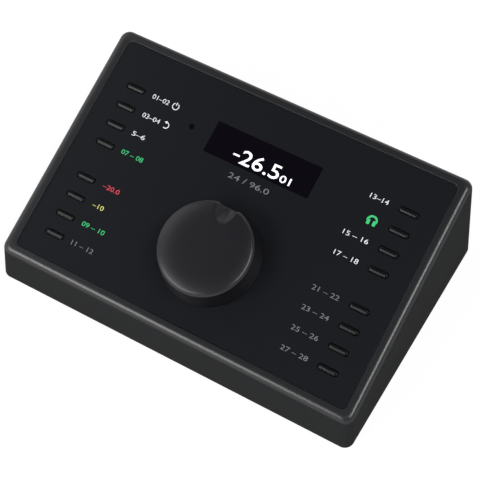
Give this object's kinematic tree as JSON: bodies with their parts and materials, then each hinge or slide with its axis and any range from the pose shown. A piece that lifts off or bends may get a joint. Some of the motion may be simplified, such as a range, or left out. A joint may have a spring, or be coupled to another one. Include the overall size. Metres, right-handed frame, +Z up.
{
  "type": "studio monitor controller",
  "caption": "Wedge-shaped desktop monitor controller with a sloping recessed panel, one large rotary knob, columns of pill-shaped keys at both sides and a display window.",
  "frame": {"origin": "middle of the footprint, on the table", "axes": "+Z up, +X to the user's right, +Y to the rear; the panel slopes up towards +Y"},
  "size_m": [0.2114, 0.133, 0.0612],
  "materials": {
    "housing_paint": "fine textured matt black powder coat",
    "faceplate_film": "matt black printed film on plate",
    "window_lens": "smoked polished lens",
    "display_glass": "black display glass",
    "circuit_board": "green solder mask",
    "ribbon_film": "amber film",
    "sensor_lens": "dark clear pin",
    "component_body": "moulded black",
    "light_guide": "milky clear acrylic",
    "lamp_body": "lamp package",
    "knob_rubber": "soft-touch satin black",
    "hub_metal": "machined",
    "shaft_metal": "nickel plated steel",
    "cover_steel": "matt black painted sheet",
    "capacitor_sleeve": "shrink sleeve",
    "relay_case": "moulded case",
    "rear_panel_paint": "matt black painted sheet",
    "socket_body": "moulded black",
    "network_shell": "tin plated shell",
    "inner_screw": "zinc plated",
    "outer_screw": "black oxide",
    "key_plastic": "satin black",
    "foot_rubber": "moulded black"
  },
  "bodies": {
    "base": {"top_housing": "housing_paint", "faceplate": "faceplate_film", "display_window": "window_lens", "display_glass": "display_glass", "display_board": "circuit_board", "display_ribbon": "ribbon_film", "sensor_lens": "sensor_lens", "sensor_cell": "component_body", "key_switches": "component_body", "light_guides": "light_guide", "indicator_lamps": "lamp_body", "key_board": "circuit_board", "encoder_body": "component_body", "encoder_bushing": "hub_metal", "encoder_washer": "shaft_metal", "encoder_nut": "hub_metal", "bottom_cover": "cover_steel", "main_board": "circuit_board", "standoffs": "hub_metal", "processor_shield": "shaft_metal", "capacitors": "capacitor_sleeve", "audio_relays": "relay_case", "board_ribbon": "ribbon_film", "rear_panel": "rear_panel_paint", "line_input_left": "socket_body", "line_input_right": "socket_body", "network_socket_left": "network_shell", "network_socket_right": "network_shell", "usb_socket": "network_shell", "power_inlet": "socket_body", "headphone_jack": "socket_body", "headphone_nut": "shaft_metal", "key_board_screws": "inner_screw", "cover_screws": "outer_screw", "main_board_screws": "inner_screw", "rear_panel_screws": "outer_screw", "foot_front_left": "foot_rubber", "foot_front_right": "foot_rubber", "foot_rear_left": "foot_rubber", "foot_rear_right": "foot_rubber"},
    "knob": {"knob_cap": "knob_rubber", "knob_hub": "hub_metal", "encoder_shaft": "shaft_metal"},
    "key_left_1": {"key_left_1": "key_plastic"},
    "key_left_2": {"key_left_2": "key_plastic"},
    "key_left_3": {"key_left_3": "key_plastic"},
    "key_left_4": {"key_left_4": "key_plastic"},
    "key_left_5": {"key_left_5": "key_plastic"},
    "key_left_6": {"key_left_6": "key_plastic"},
    "key_left_7": {"key_left_7": "key_plastic"},
    "key_left_8": {"key_left_8": "key_plastic"},
    "key_right_1": {"key_right_1": "key_plastic"},
    "key_right_2": {"key_right_2": "key_plastic"},
    "key_right_3": {"key_right_3": "key_plastic"},
    "key_right_4": {"key_right_4": "key_plastic"},
    "key_right_5": {"key_right_5": "key_plastic"},
    "key_right_6": {"key_right_6": "key_plastic"},
    "key_right_7": {"key_right_7": "key_plastic"},
    "key_right_8": {"key_right_8": "key_plastic"}
  },
  "joints": [
    {"name": "knob_turn", "type": "hinge", "parent": "base", "child": "knob", "pos_m": [0, -0.02, 0.03696], "axis": [0, -0.279, 0.9603], "continuous": true},
    {"name": "key_left_1_press", "type": "slide", "parent": "base", "child": "key_left_1", "axis": [0, 0.279, -0.9603], "range_m": [0, 0.0005], "stiffness_N_per_m": 50, "springref_m": -0.0004},
    {"name": "key_left_2_press", "type": "slide", "parent": "base", "child": "key_left_2", "axis": [0, 0.279, -0.9603], "range_m": [0, 0.0005], "stiffness_N_per_m": 50, "springref_m": -0.0004},
    {"name": "key_left_3_press", "type": "slide", "parent": "base", "child": "key_left_3", "axis": [0, 0.279, -0.9603], "range_m": [0, 0.0005], "stiffness_N_per_m": 50, "springref_m": -0.0004},
    {"name": "key_left_4_press", "type": "slide", "parent": "base", "child": "key_left_4", "axis": [0, 0.279, -0.9603], "range_m": [0, 0.0005], "stiffness_N_per_m": 50, "springref_m": -0.0004},
    {"name": "key_left_5_press", "type": "slide", "parent": "base", "child": "key_left_5", "axis": [0, 0.279, -0.9603], "range_m": [0, 0.0005], "stiffness_N_per_m": 50, "springref_m": -0.0004},
    {"name": "key_left_6_press", "type": "slide", "parent": "base", "child": "key_left_6", "axis": [0, 0.279, -0.9603], "range_m": [0, 0.0005], "stiffness_N_per_m": 50, "springref_m": -0.0004},
    {"name": "key_left_7_press", "type": "slide", "parent": "base", "child": "key_left_7", "axis": [0, 0.279, -0.9603], "range_m": [0, 0.0005], "stiffness_N_per_m": 50, "springref_m": -0.0004},
    {"name": "key_left_8_press", "type": "slide", "parent": "base", "child": "key_left_8", "axis": [0, 0.279, -0.9603], "range_m": [0, 0.0005], "stiffness_N_per_m": 50, "springref_m": -0.0004},
    {"name": "key_right_1_press", "type": "slide", "parent": "base", "child": "key_right_1", "axis": [0, 0.279, -0.9603], "range_m": [0, 0.0005], "stiffness_N_per_m": 50, "springref_m": -0.0004},
    {"name": "key_right_2_press", "type": "slide", "parent": "base", "child": "key_right_2", "axis": [0, 0.279, -0.9603], "range_m": [0, 0.0005], "stiffness_N_per_m": 50, "springref_m": -0.0004},
    {"name": "key_right_3_press", "type": "slide", "parent": "base", "child": "key_right_3", "axis": [0, 0.279, -0.9603], "range_m": [0, 0.0005], "stiffness_N_per_m": 50, "springref_m": -0.0004},
    {"name": "key_right_4_press", "type": "slide", "parent": "base", "child": "key_right_4", "axis": [0, 0.279, -0.9603], "range_m": [0, 0.0005], "stiffness_N_per_m": 50, "springref_m": -0.0004},
    {"name": "key_right_5_press", "type": "slide", "parent": "base", "child": "key_right_5", "axis": [0, 0.279, -0.9603], "range_m": [0, 0.0005], "stiffness_N_per_m": 50, "springref_m": -0.0004},
    {"name": "key_right_6_press", "type": "slide", "parent": "base", "child": "key_right_6", "axis": [0, 0.279, -0.9603], "range_m": [0, 0.0005], "stiffness_N_per_m": 50, "springref_m": -0.0004},
    {"name": "key_right_7_press", "type": "slide", "parent": "base", "child": "key_right_7", "axis": [0, 0.279, -0.9603], "range_m": [0, 0.0005], "stiffness_N_per_m": 50, "springref_m": -0.0004},
    {"name": "key_right_8_press", "type": "slide", "parent": "base", "child": "key_right_8", "axis": [0, 0.279, -0.9603], "range_m": [0, 0.0005], "stiffness_N_per_m": 50, "springref_m": -0.0004}
  ]
}
